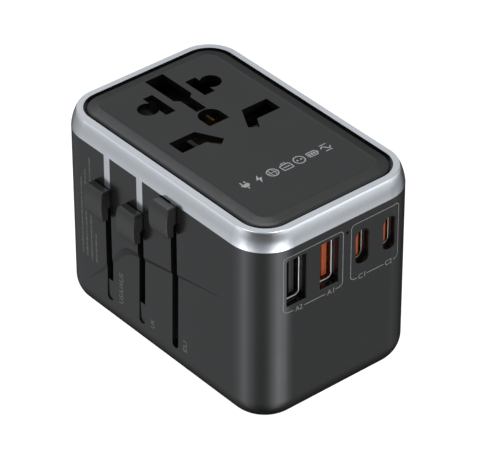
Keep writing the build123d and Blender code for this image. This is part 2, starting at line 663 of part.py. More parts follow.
def fuse():
    """The internal cartridge fuse, glass tube and end caps in one piece."""
    tube = Pos(-28.2, -12.0, 9.0) * extrude(Circle(2.3), 18.0)
    caps = Pos(-28.2, -12.0, 8.0) * extrude(Circle(2.6), 5.0)
    caps = caps + Pos(-28.2, -12.0, 23.0) * extrude(Circle(2.6), 5.0)
    return tube + caps


def fuse_clips():
    """Two spring clips that hold the fuse."""
    clips = []
    for z in (9.2, 24.2):
        ring = Pos(-28.2, -12.0, z) * extrude(Circle(3.1) - Circle(2.62), 2.6)
        back = span(-31.8, -31.2, -14.0, -10.0, z, z + 2.6)
        arm = span(-31.6, -31.0, -12.6, -11.4, z, z + 2.6)
        clips.append(ring + back + arm)
    return Compound(children=clips)


def charger_pcb():
    """The power board of the charger."""
    return span(CHARGER_PCB_X, CHARGER_PCB_X + PCB_T, -19.5, 19.5, 7.5, 46.0)


def output_pcb():
    """The small board that carries the charging ports."""
    return span(OUTPUT_PCB_X, OUTPUT_PCB_X + PCB_T, -19.0, 19.0, 30.5, 47.6)


def transformer_core():
    """The ferrite core of the charger's transformer."""
    core = span(21.2, 32.2, -9.0, 5.0, 8.0, 24.0)
    core = core - span(20.0, 34.0, -6.4, 2.4, 10.8, 21.2)
    return core + span(24.4, 29.0, -6.5, 2.5, 14.0, 18.0)


def transformer_winding():
    """The taped winding round the core's centre leg."""
    winding = span(22.0, 31.4, -6.3, 2.3, 11.0, 21.0)
    return winding - span(24.3, 29.1, -6.6, 2.6, 13.9, 18.1)


def bulk_capacitor():
    """The large reservoir capacitor, lying across the board."""
    can = Pos(20.4, 12.8, 14.0) * Rot(0, 90, 0) * extrude(Circle(5.0), 12.0)
    return fillet(can.faces().sort_by(Axis.X)[-1].edges(), 0.8)


def filter_capacitors():
    """Two smaller capacitors beside the transformer."""
    cans = []
    for z in (12.5, 21.5):
        can = Pos(20.4, -14.4, z) * Rot(0, 90, 0) * extrude(Circle(3.5), 10.0)
        cans.append(fillet(can.faces().sort_by(Axis.X)[-1].edges(), 0.5))
    return Compound(children=cans)


def heat_sink():
    """A small finned aluminium heat sink on the power board."""
    sink = span(20.4, 21.2, 7.4, 18.4, 21.0, 28.5)
    for i in range(5):
        y = 7.6 + 2.55 * i
        sink = sink + span(21.1, 27.4, y, y + 0.8, 21.0, 28.5)
    return sink


def rounded_mouth(shell):
    """Rolls the sheet metal's edge at the mouth of a port shell."""
    return fillet(shell.faces().sort_by(Axis.X)[-1].edges(), METAL_EDGE_R)


def usb_a_shell(port):
    """The folded metal shell of a USB-A port."""
    y, z, width, height = port
    gap = 0.05
    outer = port_a_cut(y, z, width, height, SHELL_BACK_X, SHELL_FACE_X, -gap, METAL_CORNER_R)
    inner = port_a_cut(y, z, width, height, SHELL_BACK_X + METAL_T, SHELL_FACE_X + 1.0, -gap - METAL_T,
                       METAL_CORNER_R - METAL_T)
    return rounded_mouth(outer - inner)


def usb_a_tongue(port):
    """The contact tongue of a USB-A port."""
    y, z, width, height = port
    y0 = y - width / 2 + A_TONGUE_OFFSET
    tongue = span(SHELL_BACK_X + METAL_T, A_TONGUE_X, y0, y0 + A_TONGUE_T, z - 5.3, z + 5.3)
    return fillet(tongue.faces().sort_by(Axis.X)[-1].edges(), 0.25)


def usb_c_shell(port):
    """The drawn metal shell of a USB-C port."""
    y, z, width, height = port
    gap = 0.05
    outer = port_c_cut(y, z, width, height, SHELL_BACK_X, SHELL_FACE_X, -gap)
    inner = port_c_cut(y, z, width, height, SHELL_BACK_X + METAL_T, SHELL_FACE_X + 1.0, -gap - METAL_T)
    return rounded_mouth(outer - inner)


def usb_c_tongue(port):
    """The thin centre tongue of a USB-C port."""
    y, z, width, height = port
    half = C_TONGUE_T / 2
    return span(SHELL_BACK_X + METAL_T, C_TONGUE_X, y - half, y + half, z - 3.3, z + 3.3)


def led_pipe():
    """The light pipe of the charging light."""
    pipe = Pos(OUTPUT_PCB_X + PCB_T, LED_Y, LED_Z) * Rot(0, 90, 0)
    length = SIDE_X - 0.15 - OUTPUT_PCB_X - PCB_T
    return pipe * extrude(Circle(LED_D / 2 - 0.03), length)


def build_nodes():
    """Every node of the adapter by name."""
    return {
        "outer_shell": outer_shell(),
        "pin_guide": pin_guide(),
        "slot_stops": slot_stops(),
        "trim_ring": trim_ring(),
        "socket_panel": socket_panel(),
        "contact_tray": contact_tray(),
        "live_contact": pole_contact(1),
        "neutral_contact": pole_contact(-1),
        "earth_contact": earth_contact(),
        "live_riser": pole_riser(1),
        "neutral_riser": pole_riser(-1),
        "safety_shutter": safety_shutter(),
        "shutter_spring": shutter_spring(),
        "us_knob": knob(US_SLOT_X, LOW_KNOB_Z),
        "us_carriage": us_carriage(),
        "us_rotor_left": us_rotor(-1),
        "us_rotor_right": us_rotor(1),
        "us_blade_left": us_blade(-1),
        "us_blade_right": us_blade(1),
        "uk_knob": knob(UK_SLOT_X, LOW_KNOB_Z),
        "uk_carriage": uk_carriage(),
        "uk_pin_live": uk_pin(1),
        "uk_pin_neutral": uk_pin(-1),
        "uk_pin_earth": uk_pin_earth(),
        "uk_pin_sleeves": uk_pin_sleeves(),
        "eu_knob": knob(EU_SLOT_X, EU_KNOB_Z),
        "eu_carriage": eu_carriage(),
        "eu_pin_live": eu_pin(1),
        "eu_pin_neutral": eu_pin(-1),
        "eu_pin_sleeves": eu_pin_sleeves(),
        "inner_frame": inner_frame(),
        "case_screws": case_screws(),
        "fuse": fuse(),
        "fuse_clips": fuse_clips(),
        "charger_pcb": charger_pcb(),
        "output_pcb": output_pcb(),
        "transformer_core": transformer_core(),
        "transformer_winding": transformer_winding(),
        "bulk_capacitor": bulk_capacitor(),
        "filter_capacitors": filter_capacitors(),
        "heat_sink": heat_sink(),
        "usb_a_shell_1": usb_a_shell(PORT_A[1]),
        "usb_a_shell_2": usb_a_shell(PORT_A[0]),
        "usb_a_tongue_1": usb_a_tongue(PORT_A[1]),
        "usb_a_tongue_2": usb_a_tongue(PORT_A[0]),
        "usb_c_shell_1": usb_c_shell(PORT_C[0]),
        "usb_c_shell_2": usb_c_shell(PORT_C[1]),
        "usb_c_tongue_1": usb_c_tongue(PORT_C[0]),
        "usb_c_tongue_2": usb_c_tongue(PORT_C[1]),
        "led_pipe": led_pipe(),
    }


os.makedirs("parts", exist_ok=True)
for node_name, shape in build_nodes().items():
    export_step(shape, os.path.join("parts", node_name + ".step"))
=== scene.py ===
import math
import random

import bmesh
import bpy
from mathutils import Matrix, Vector
from mathutils.bvhtree import BVHTree


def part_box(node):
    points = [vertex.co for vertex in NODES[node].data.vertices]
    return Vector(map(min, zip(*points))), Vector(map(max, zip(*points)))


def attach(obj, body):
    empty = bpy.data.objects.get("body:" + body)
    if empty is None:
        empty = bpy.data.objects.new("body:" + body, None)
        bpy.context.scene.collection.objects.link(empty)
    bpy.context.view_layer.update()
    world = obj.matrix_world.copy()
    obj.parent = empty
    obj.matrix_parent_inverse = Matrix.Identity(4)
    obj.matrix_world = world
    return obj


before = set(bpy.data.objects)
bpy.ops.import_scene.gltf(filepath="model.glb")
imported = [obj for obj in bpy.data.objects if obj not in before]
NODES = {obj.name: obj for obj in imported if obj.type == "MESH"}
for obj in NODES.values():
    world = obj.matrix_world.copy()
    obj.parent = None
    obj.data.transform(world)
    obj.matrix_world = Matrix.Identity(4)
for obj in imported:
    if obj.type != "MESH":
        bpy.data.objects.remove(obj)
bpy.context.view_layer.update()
MM = 0.001

SHELL_LOW, SHELL_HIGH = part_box("outer_shell")
FRONT_Y = SHELL_LOW.y
PORT_X = SHELL_HIGH.x
PANEL_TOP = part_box("socket_panel")[1].z
random.seed(7)


# ------------------------------------------------------------------ camera

# Angles in degrees, the azimuth from the slider side towards the port side; lengths in metres.
CAMERA_AZIMUTH = 50.268
CAMERA_ELEVATION = 35.453
CAMERA_ROLL = -0.138
CAMERA_DISTANCE = 0.78218
CAMERA_LENS_MM = 252.4
CAMERA_TARGET_Z = 0.0267
CAMERA_MOVE_RIGHT = 0.00049
CAMERA_MOVE_UP = 0.000095


def add_camera():
    """A long lens at the photograph's angle."""
    azimuth = math.radians(CAMERA_AZIMUTH)
    elevation = math.radians(CAMERA_ELEVATION)
    roll = math.radians(CAMERA_ROLL)
    target = Vector((0, 0, CAMERA_TARGET_Z))
    back = Vector((math.sin(azimuth) * math.cos(elevation),
                   -math.cos(azimuth) * math.cos(elevation), math.sin(elevation)))
    right = Vector((math.cos(azimuth), math.sin(azimuth), 0))
    up = back.cross(right)
    right_r = right * math.cos(roll) + up * math.sin(roll)
    up_r = up * math.cos(roll) - right * math.sin(roll)
    data = bpy.data.cameras.new("camera")
    data.sensor_width = 36.0
    data.sensor_fit = "HORIZONTAL"
    data.lens = CAMERA_LENS_MM
    data.clip_start = 0.01
    data.clip_end = 20
    camera = bpy.data.objects.new("camera", data)
    bpy.context.scene.collection.objects.link(camera)
    camera.matrix_world = Matrix((
        (right_r.x, up_r.x, back.x, 0), (right_r.y, up_r.y, back.y, 0),
        (right_r.z, up_r.z, back.z, 0), (0, 0, 0, 1)))
    camera.location = (target + back * CAMERA_DISTANCE + right_r * CAMERA_MOVE_RIGHT
                       + up_r * CAMERA_MOVE_UP)
    bpy.context.scene.camera = camera


# ------------------------------------------------------------------ node helpers

def new_material(name):
    """A material with an empty Principled shader."""
    mat = bpy.data.materials.new(name)
    mat.use_nodes = True
    tree = mat.node_tree
    tree.nodes.clear()
    out = tree.nodes.new("ShaderNodeOutputMaterial")
    shader = tree.nodes.new("ShaderNodeBsdfPrincipled")
    tree.links.new(shader.outputs["BSDF"], out.inputs["Surface"])
    return mat, tree, shader


def noise(tree, scale, detail=2.0, roughness=0.5):
    """A noise texture in object space, scale in cycles per metre."""
    coord = tree.nodes.new("ShaderNodeTexCoord")
    tex = tree.nodes.new("ShaderNodeTexNoise")
    tex.inputs["Scale"].default_value = scale
    tex.inputs["Detail"].default_value = detail
    tex.inputs["Roughness"].default_value = roughness
    tree.links.new(coord.outputs["Object"], tex.inputs["Vector"])
    return tex


def ramp(tree, source, low, high, a, b):
    """Maps a value from low..high to a..b."""
    node = tree.nodes.new("ShaderNodeMapRange")
    node.inputs["From Min"].default_value = low
    node.inputs["From Max"].default_value = high
    node.inputs["To Min"].default_value = a
    node.inputs["To Max"].default_value = b
    tree.links.new(source, node.inputs["Value"])
    return node.outputs["Result"]


def colours(tree, source, low, high, dark, light):
    """Mixes two colours by a value."""
    node = tree.nodes.new("ShaderNodeMix")
    node.data_type = "RGBA"
    node.inputs["A"].default_value = (*dark, 1)
    node.inputs["B"].default_value = (*light, 1)
    tree.links.new(ramp(tree, source, low, high, 0, 1), node.inputs["Factor"])
    return node.outputs["Result"]


def bump(tree, shader, height, strength, distance):
    """Adds a bump to the shader's normal."""
    node = tree.nodes.new("ShaderNodeBump")
    node.inputs["Strength"].default_value = strength
    node.inputs["Distance"].default_value = distance
    tree.links.new(height, node.inputs["Height"])
    tree.links.new(node.outputs["Normal"], shader.inputs["Normal"])


PLASTIC_IOR = 1.5


def plastic(name, colour, rough, grain=5200.0, grain_depth=0.000012, spread=0.18, gloss=0.5):
    """Moulded plastic: fine spark-eroded grain, faint tone and gloss variation."""
    mat, tree, shader = new_material(name)
    shader.inputs["IOR"].default_value = PLASTIC_IOR
    shader.inputs["Specular IOR Level"].default_value = gloss
    fine = noise(tree, grain, 3.0, 0.6)
    broad = noise(tree, 90.0, 4.0, 0.6)
    dark = tuple(c * (1 - spread) for c in colour)
    light = tuple(c * (1 + spread) for c in colour)
    tree.links.new(colours(tree, fine.outputs["Fac"], 0.3, 0.7, dark, light), shader.inputs["Base Color"])
    tree.links.new(ramp(tree, broad.outputs["Fac"], 0.3, 0.7, rough - 0.03, rough + 0.03),
                   shader.inputs["Roughness"])
    bump(tree, shader, fine.outputs["Fac"], 0.35, grain_depth)
    return mat


def metal(name, colour, rough, grain=9000.0, stretch=(1, 1, 1), grain_depth=0.000004, spread=0.05):
    """Metal with a fine blasted or drawn grain."""
    mat, tree, shader = new_material(name)
    shader.inputs["Metallic"].default_value = 1.0
    coord = tree.nodes.new("ShaderNodeTexCoord")
    mapping = tree.nodes.new("ShaderNodeMapping")
    mapping.inputs["Scale"].default_value = stretch
    tex = tree.nodes.new("ShaderNodeTexNoise")
    tex.inputs["Scale"].default_value = grain
    tex.inputs["Detail"].default_value = 3.0
    tree.links.new(coord.outputs["Object"], mapping.inputs["Vector"])
    tree.links.new(mapping.outputs["Vector"], tex.inputs["Vector"])
    broad = noise(tree, 120.0, 3.0)
    dark = tuple(c * (1 - spread) for c in colour)
    light = tuple(min(1.0, c * (1 + spread)) for c in colour)
    tree.links.new(colours(tree, tex.outputs["Fac"], 0.3, 0.7, dark, light), shader.inputs["Base Color"])
    tree.links.new(ramp(tree, broad.outputs["Fac"], 0.3, 0.7, rough - 0.02, rough + 0.03),
                   shader.inputs["Roughness"])
    bump(tree, shader, tex.outputs["Fac"], 0.25, grain_depth)
    return mat


def paint(node, mat):
    """Gives a CAD node its finished material."""
    slots = NODES[node].data.materials
    slots.clear()
    slots.append(mat)


# ------------------------------------------------------------------ studio

# Brightness of the studio by azimuth, in degrees from the slider side towards the port side, at several
# heights. Two tall soft boxes flank the camera, with a dark gap between them, over a dark table.
SKY = {
    -86: [(-130, 0.01), (230, 0.01)],
    -70: [(-130, 0.01), (-92, 0.03), (-50, 0.08), (-30, 0.12), (-8, 0.25), (12, 0.10), (45, 0.05), (70, 0.14),
          (87, 0.25), (110, 0.14), (130, 0.08), (168, 0.04), (200, 0.01), (230, 0.01)],
    -53: [(-130, 0.01), (-111, 0.012), (-92, 0.05), (-65, 0.17), (-50, 0.22), (-32, 0.40), (-8, 1.10), (12, 0.45),
          (30, 0.20), (45, 0.17), (58, 0.30), (70, 0.90), (87, 1.60), (104, 0.90), (118, 0.36), (130, 0.23),
          (143, 0.18), (168, 0.06), (200, 0.012), (230, 0.01)],
    -33: [(-130, 0.02), (-100, 0.12), (-75, 0.34), (-50, 0.54), (-32, 0.92), (-20, 1.45), (-8, 2.40), (12, 1.45),
          (30, 0.62), (45, 0.56), (58, 0.86), (70, 1.95), (87, 3.60), (104, 2.60), (118, 1.05), (130, 0.46),
          (145, 0.55), (165, 0.26), (190, 0.05), (230, 0.02)],
    -12: [(-130, 0.02), (-100, 0.15), (-75, 0.32), (-50, 0.40), (-32, 0.52), (-20, 0.72), (-8, 1.15), (12, 0.60),
          (30, 0.36), (45, 0.32), (58, 0.46), (70, 0.95), (86, 1.60), (104, 1.05), (118, 0.50), (130, 0.33),
          (160, 0.30), (190, 0.08), (230, 0.02)],
    -3: [(-130, 0.06), (-100, 0.40), (-50, 0.46), (-32, 0.58), (-20, 0.60), (-5, 0.42), (12, 0.20), (30, 0.14),
         (45, 0.13), (62, 0.14), (75, 0.24), (90, 0.40), (110, 0.56), (128, 0.60), (150, 0.55), (230, 0.06)],
    5: [(-130, 0.12), (-105, 0.45), (-50, 0.56), (-32, 0.70), (-20, 0.85), (-2, 0.50), (15, 0.17), (40, 0.10),
        (62, 0.11), (78, 0.26), (95, 0.44), (110, 0.60), (128, 0.78), (150, 0.70), (190, 0.35), (230, 0.12)],
    20: [(-130, 0.22), (-105, 0.60), (-50, 0.62), (-35, 1.00), (-22, 0.95), (-2, 0.48), (15, 0.13), (40, 0.09),
         (62, 0.11), (78, 0.32), (95, 0.64), (110, 0.95), (128, 1.12), (150, 0.85), (190, 0.40), (230, 0.22)],
    36: [(-130, 0.60), (-110, 0.90), (-50, 0.72), (-35, 1.10), (-20, 0.90), (-2, 0.45), (15, 0.13), (40, 0.09),
         (62, 0.11), (78, 0.34), (95, 0.75), (110, 1.05), (128, 1.20), (150, 0.90), (190, 0.58), (230, 0.60)],
    50: [(-130, 1.20), (-115, 1.75), (-100, 2.60), (-80, 1.80), (-60, 1.00), (-35, 0.80), (0, 0.50), (40, 0.30),
         (80, 0.50), (110, 0.80), (150, 0.80), (190, 0.60), (215, 0.62), (230, 1.20)],
    66: [(-130, 1.30), (-100, 1.60), (-60, 1.00), (50, 0.60), (150, 0.80), (230, 1.30)],
    86: [(-130, 0.90), (230, 0.90)],
}
SKY_SCALE = 3.6
SKY_MIDDLE = 50.0


def math_node(tree, kind, a, b=None):
    """A maths node on sockets or plain numbers."""
    node = tree.nodes.new("ShaderNodeMath")
    node.operation = kind
    for i, value in enumerate((a, b)):
        if value is None:
            continue
        if isinstance(value, (int, float)):
            node.inputs[i].default_value = value
        else:
            tree.links.new(value, node.inputs[i])
    return node.outputs[0]


def sky_ramp(tree, turn, stops):
    """A brightness that follows the azimuth."""
    node = tree.nodes.new("ShaderNodeValToRGB")
    ramp_data = node.color_ramp
    ramp_data.interpolation = "EASE"
    for i, (azimuth, level) in enumerate(stops):
        place = 0.5 + (azimuth - SKY_MIDDLE) / 360
        if i < 2:
            element = ramp_data.elements[i]
            element.position = place
        else:
            element = ramp_data.elements.new(place)
        grey = level / SKY_SCALE
        element.color = (grey, grey, grey, 1)
    tree.links.new(turn, node.inputs["Fac"])
    return node.outputs["Color"]


def add_world():
    """A soft studio whose brightness follows the azimuth and the height."""
    world = bpy.data.worlds.new("studio")
    bpy.context.scene.world = world
    world.use_nodes = True
    tree = world.node_tree
    tree.nodes.clear()
    out = tree.nodes.new("ShaderNodeOutputWorld")
    background = tree.nodes.new("ShaderNodeBackground")
    tree.links.new(background.outputs["Background"], out.inputs["Surface"])
    coord = tree.nodes.new("ShaderNodeTexCoord")
    spin = tree.nodes.new("ShaderNodeMapping")
    spin.vector_type = "POINT"
    spin.inputs["Rotation"].default_value = (0, 0, -math.radians(SKY_MIDDLE))
    tree.links.new(coord.outputs["Generated"], spin.inputs["Vector"])
    split = tree.nodes.new("ShaderNodeSeparateXYZ")
    tree.links.new(spin.outputs["Vector"], split.inputs["Vector"])
    forward = math_node(tree, "MULTIPLY", split.outputs["Y"], -1.0)
    angle = math_node(tree, "ARCTAN2", split.outputs["X"], forward)
    turn = math_node(tree, "ADD", math_node(tree, "DIVIDE", angle, 2 * math.pi), 0.5)
    heights = sorted(SKY)
    sky = sky_ramp(tree, turn, SKY[heights[0]])
    for below, above in zip(heights, heights[1:]):
        lift = tree.nodes.new("ShaderNodeMapRange")
        lift.interpolation_type = "SMOOTHSTEP"
        lift.inputs["From Min"].default_value = math.sin(math.radians(below))
        lift.inputs["From Max"].default_value = math.sin(math.radians(above))
        tree.links.new(split.outputs["Z"], lift.inputs["Value"])
        mix = tree.nodes.new("ShaderNodeMix")
        mix.data_type = "RGBA"
        tree.links.new(lift.outputs["Result"], mix.inputs["Factor"])
        tree.links.new(sky, mix.inputs["A"])
        tree.links.new(sky_ramp(tree, turn, SKY[above]), mix.inputs["B"])
        sky = mix.outputs["Result"]
    tint = tree.nodes.new("ShaderNodeMix")
    tint.data_type = "RGBA"
    tint.blend_type = "MULTIPLY"
    tint.inputs["Factor"].default_value = 1.0
    tint.inputs["B"].default_value = (0.965, 0.985, 1.01, 1)
    tree.links.new(sky, tint.inputs["A"])
    tree.links.new(tint.outputs["Result"], background.inputs["Color"])
    background.inputs["Strength"].default_value = SKY_SCALE


# The floor lies below the pins at full travel, so that they never sink into it. In metres.
FLOOR_DROP = 0.034
FLOOR_HALF = 4.0


def add_floor():
    """A plain pale floor that the reflections look through, clear from below."""
    mesh = bpy.data.meshes.new("floor")
    half = FLOOR_HALF
    corners = [(-half, -half, 0), (half, -half, 0), (half, half, 0), (-half, half, 0)]
    mesh.from_pydata(corners, [], [(0, 1, 2, 3)])
    floor = bpy.data.objects.new("floor", mesh)
    bpy.context.scene.collection.objects.link(floor)
    mat, tree, shader = new_material("floor_paper")
    shader.inputs["Roughness"].default_value = 0.9
    shader.inputs["Specular IOR Level"].default_value = 0.0
    shader.inputs["Base Color"].default_value = (0.22, 0.22, 0.22, 1)
    shader.inputs["Emission Color"].default_value = (1, 1, 1, 1)
    shader.inputs["Emission Strength"].default_value = 0.93
    tree.links.remove(shader.outputs["BSDF"].links[0])
    geometry = tree.nodes.new("ShaderNodeNewGeometry")
    clear = tree.nodes.new("ShaderNodeBsdfTransparent")
    choice = tree.nodes.new("ShaderNodeMixShader")
    tree.links.new(geometry.outputs["Backfacing"], choice.inputs["Fac"])
    tree.links.new(shader.outputs["BSDF"], choice.inputs[1])
    tree.links.new(clear.outputs["BSDF"], choice.inputs[2])
    tree.links.new(choice.outputs["Shader"], tree.nodes["Material Output"].inputs["Surface"])
    mesh.materials.append(mat)
    floor.visible_glossy = False
    floor.visible_shadow = False
    floor.location.z = -FLOOR_DROP


def add_light(name, azimuth, elevation, distance, size, power):
    """A soft area light aimed at the adapter."""
    data = bpy.data.lights.new(name, "AREA")
    data.shape = "DISK"
    data.size = size
    data.energy = power
    light = bpy.data.objects.new(name, data)
    bpy.context.scene.collection.objects.link(light)
    a, e = math.radians(azimuth), math.radians(elevation)
    away = Vector((math.sin(a) * math.cos(e), -math.cos(a) * math.cos(e), math.sin(e)))
    light.location = Vector((0, 0, 0.03)) + away * distance
    light.rotation_mode = "QUATERNION"
    light.rotation_quaternion = (-away).to_track_quat("-Z", "Y")


# ------------------------------------------------------------------ the adapter

def finish_nodes():
    """Materials for the carried-over CAD nodes."""
    shell = plastic("shell_plastic", (0.006, 0.006, 0.0061), 0.22)
    panel = plastic("panel_plastic", (0.006, 0.006, 0.006), 0.30, grain=7000.0, grain_depth=0.000008)
    knobs = plastic("knob_plastic", (0.022, 0.022, 0.022), 0.36)
    carriage = plastic("carriage_plastic", (0.010, 0.010, 0.011), 0.45)
    tray = plastic("tray_plastic", (0.030, 0.030, 0.031), 0.5)
    shutter = plastic("shutter_plastic", (0.05, 0.05, 0.05), 0.45)
    sleeve = plastic("sleeve_plastic", (0.015, 0.015, 0.015), 0.4)
    ring = metal("ring_metal", (0.82, 0.85, 0.89), 0.20)
    pin = metal("plated_pin", (0.72, 0.69, 0.63), 0.22, grain=4000.0, stretch=(1, 1, 0.1))
    brass = metal("brass", (0.74, 0.55, 0.25), 0.28, grain=4000.0, stretch=(1, 1, 0.2))
    steel = metal("steel", (0.62, 0.62, 0.62), 0.26, grain=6000.0, stretch=(0.2, 1, 1))
    orange = plastic("orange_tongue", (0.50, 0.085, 0.015), 0.45)
    black = plastic("black_tongue", (0.02, 0.02, 0.02), 0.4)
    board = plastic("circuit_board", (0.015, 0.10, 0.04), 0.35, grain=1500.0)
    ferrite = plastic("ferrite", (0.04, 0.04, 0.045), 0.6)
    tape = plastic("winding_tape", (0.62, 0.42, 0.05), 0.35)
    can = plastic("capacitor_sleeve", (0.02, 0.03, 0.09), 0.3)
    ceramic = plastic("fuse_ceramic", (0.65, 0.62, 0.55), 0.4)
    sink = metal("heat_sink_alloy", (0.6, 0.6, 0.62), 0.35)
    light = plastic("light_pipe", (0.002, 0.002, 0.002), 0.4, gloss=0.05)
    plan = {
        shell: ["outer_shell", "pin_guide", "slot_stops"],
        panel: ["socket_panel"],
        knobs: ["us_knob", "uk_knob", "eu_knob"],
        carriage: ["us_carriage", "uk_carriage", "eu_carriage", "us_rotor_left", "us_rotor_right"],
        tray: ["contact_tray", "inner_frame"],
        shutter: ["safety_shutter"],
        sleeve: ["uk_pin_sleeves", "eu_pin_sleeves"],
        ring: ["trim_ring"],
        pin: ["us_blade_left", "us_blade_right", "uk_pin_live", "uk_pin_neutral", "uk_pin_earth",
              "eu_pin_live", "eu_pin_neutral"],
        brass: ["live_contact", "neutral_contact", "earth_contact", "live_riser", "neutral_riser", "fuse_clips"],
        steel: ["shutter_spring", "case_screws", "usb_a_shell_1", "usb_a_shell_2", "usb_c_shell_1",
                "usb_c_shell_2"],
        orange: ["usb_a_tongue_1", "usb_c_tongue_1", "usb_c_tongue_2"],
        black: ["usb_a_tongue_2"],
        board: ["charger_pcb", "output_pcb"],
        ferrite: ["transformer_core"],
        tape: ["transformer_winding"],
        can: ["bulk_capacitor", "filter_capacitors"],
        ceramic: ["fuse"],
        sink: ["heat_sink"],
        light: ["led_pipe"],
    }
    for mat, names in plan.items():
        for name in names:
            paint(name, mat)


# ------------------------------------------------------------------ printed marks and contacts

# How far ink reaches into and stands above a surface, and where the search for the surface
# starts above it, in millimetres.
INK_DEPTH = 0.020
INK_RISE = 0.012
RAY_START = 6.0


def surface_of(node):
    """A node's surface, for laying prints on it."""
    mesh = NODES[node].data
    return BVHTree.FromPolygons([v.co for v in mesh.vertices], [p.vertices[:] for p in mesh.polygons])


class Face:
    """A side of the adapter as a sheet: u runs along the print, v up it, both in millimetres."""

    def __init__(self, node, origin, u_axis, v_axis):
        self.tree = surface_of(node)
        self.origin = Vector(origin) * MM
        self.u_axis = Vector(u_axis)
        self.v_axis = Vector(v_axis)
        self.out = self.u_axis.cross(self.v_axis)

    def point(self, u, v, rise):
        """The point of the surface under (u, v), lifted by rise."""
        above = self.origin + (self.u_axis * u + self.v_axis * v + self.out * RAY_START) * MM
        hit = self.tree.ray_cast(above, -self.out)[0]
        return hit + self.out * rise * MM


def add_piece(name, bm, mat, body):
    """Turns a bmesh into a piece that rides on a body."""
    bmesh.ops.recalc_face_normals(bm, faces=bm.faces)
    mesh = bpy.data.meshes.new(name)
    bm.to_mesh(mesh)
    bm.free()
    mesh.materials.append(mat)
    piece = bpy.data.objects.new(name, mesh)
    bpy.context.scene.collection.objects.link(piece)
    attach(piece, body)
    return piece


def prism(bm, low, high):
    """Closes two matching loops of points into a solid."""
    bottom = [bm.verts.new(p) for p in low]
    top = [bm.verts.new(p) for p in high]
    bm.faces.new(top)
    bm.faces.new(bottom[::-1])
    for i in range(len(low)):
        j = (i + 1) % len(low)
        bm.faces.new((bottom[i], bottom[j], top[j], top[i]))


def patch(bm, face, outline):
    """A filled printed shape."""
    low = [face.point(u, v, -INK_DEPTH) for u, v in outline]
    high = [face.point(u, v, INK_RISE) for u, v in outline]
    prism(bm, low, high)


def line(bm, face, path, width, closed=False, rise=INK_RISE):
    """A printed line of even width along a path."""
    count = len(path)
    rails = []
    for i, here in enumerate(path):
        before = path[i - 1] if i or closed else here
        after = path[(i + 1) % count] if i + 1 < count or closed else here
        into = (Vector(here) - Vector(before)).normalized() if before != here else None
        away = (Vector(after) - Vector(here)).normalized() if after != here else None
        along = ((into or away) + (away or into)).normalized()
        side = Vector((-along.y, along.x))
        spread = width / 2 / max(0.3, abs(side.dot(Vector((-(into or away).y, (into or away).x)))))
        left = Vector(here) + side * spread
        right = Vector(here) - side * spread
        rails.append([bm.verts.new(face.point(q.x, q.y, h)) for q, h in (
            (left, -INK_DEPTH), (left, rise), (right, rise), (right, -INK_DEPTH))])
    for i in range(count if closed else count - 1):
        a, b = rails[i], rails[(i + 1) % count]
        for k in range(4):
            bm.faces.new((a[k], b[k], b[(k + 1) % 4], a[(k + 1) % 4]))
    if not closed:
        bm.faces.new(rails[0])
        bm.faces.new(rails[-1][::-1])


def arc(u, v, radius, start, end, steps):
    """Points along an arc, angles in degrees."""
    turns = [math.radians(start + (end - start) * i / steps) for i in range(steps + 1)]
    return [(u + radius * math.cos(t), v + radius * math.sin(t)) for t in turns]


def ring_path(u, v, radius_u, radius_v, steps=36):
    """Points round an ellipse."""
    turns = [2 * math.pi * i / steps for i in range(steps)]
    return [(u + radius_u * math.cos(t), v + radius_v * math.sin(t)) for t in turns]


def divided(a, b, step=0.5):
    """Points along a straight run, close enough to follow a curved wall."""
    count = max(1, round(math.dist(a, b) / step))
    return [(a[0] + (b[0] - a[0]) * i / count, a[1] + (b[1] - a[1]) * i / count) for i in range(count + 1)]


def text_piece(name, face, words, length, height, u, v, mat):
    """Printed letters of a given length and height, centred on (u, v)."""
    curve = bpy.data.curves.new(name, "FONT")
    curve.body = words
    curve.size = 1.0
    curve.extrude = 0.1
    curve.align_x = "CENTER"
    curve.align_y = "CENTER"
    letters = bpy.data.objects.new(name + "_outline", curve)
    bpy.context.scene.collection.objects.link(letters)
    bpy.context.view_layer.update()
    mesh = letters.evaluated_get(bpy.context.evaluated_depsgraph_get()).to_mesh()
    bm = bmesh.new()
    bm.from_mesh(mesh)
    letters.to_mesh_clear()
    bpy.data.objects.remove(letters)
    bpy.data.curves.remove(curve)
    bmesh.ops.remove_doubles(bm, verts=bm.verts, dist=0.00001)
    across = [p.co.x for p in bm.verts]
    up = [p.co.y for p in bm.verts]
    left, right, low, high = min(across), max(across), min(up), max(up)
    for p in bm.verts:
        rise = INK_RISE if p.co.z > 0 else -INK_DEPTH
        p.co = face.point(u + ((p.co.x - left) / (right - left) - 0.5) * length,
                          v + ((p.co.y - low) / (high - low) - 0.5) * height, rise)
    return add_piece(name, bm, mat, "case")


# The two printed frames round the ports: (left, right, bottom, top, gaps in the bottom line).
PORT_FRAMES = [
    (-17.1, 0.2, 31.4, 46.6, [(-14.4, -11.2), (-4.9, -1.9)]),
    (2.6, 17.2, 31.5, 46.7, [(4.5, 7.5), (12.6, 15.7)]),
]
PORT_LABELS = {"A2": (-12.8, 31.4), "A1": (-3.4, 31.4), "C1": (6.0, 31.5), "C2": (14.15, 31.5)}
FRAME_CORNER_R = 1.1
FRAME_LINE_W = 0.21
LABEL_L = 2.05
LABEL_H = 1.35
# Slot labels, read upwards: (height of the middle, x of the middle, length, letter height).
SLOT_LABELS = {"USA/AUS": (13.45, -13.3, 8.6, 1.5), "UK": (10.0, -1.5, 2.5, 1.35), "EU": (10.3, 10.5, 3.0, 1.4)}
# Columns of plain dashes where such adapters carry small print: (x, lowest, highest).
DASH_COLUMNS = [(-27.5, 16.2, 37.9), (-25.9, 16.3, 41.2), (-24.1, 15.7, 45.5), (-22.35, 16.0, 25.0)]


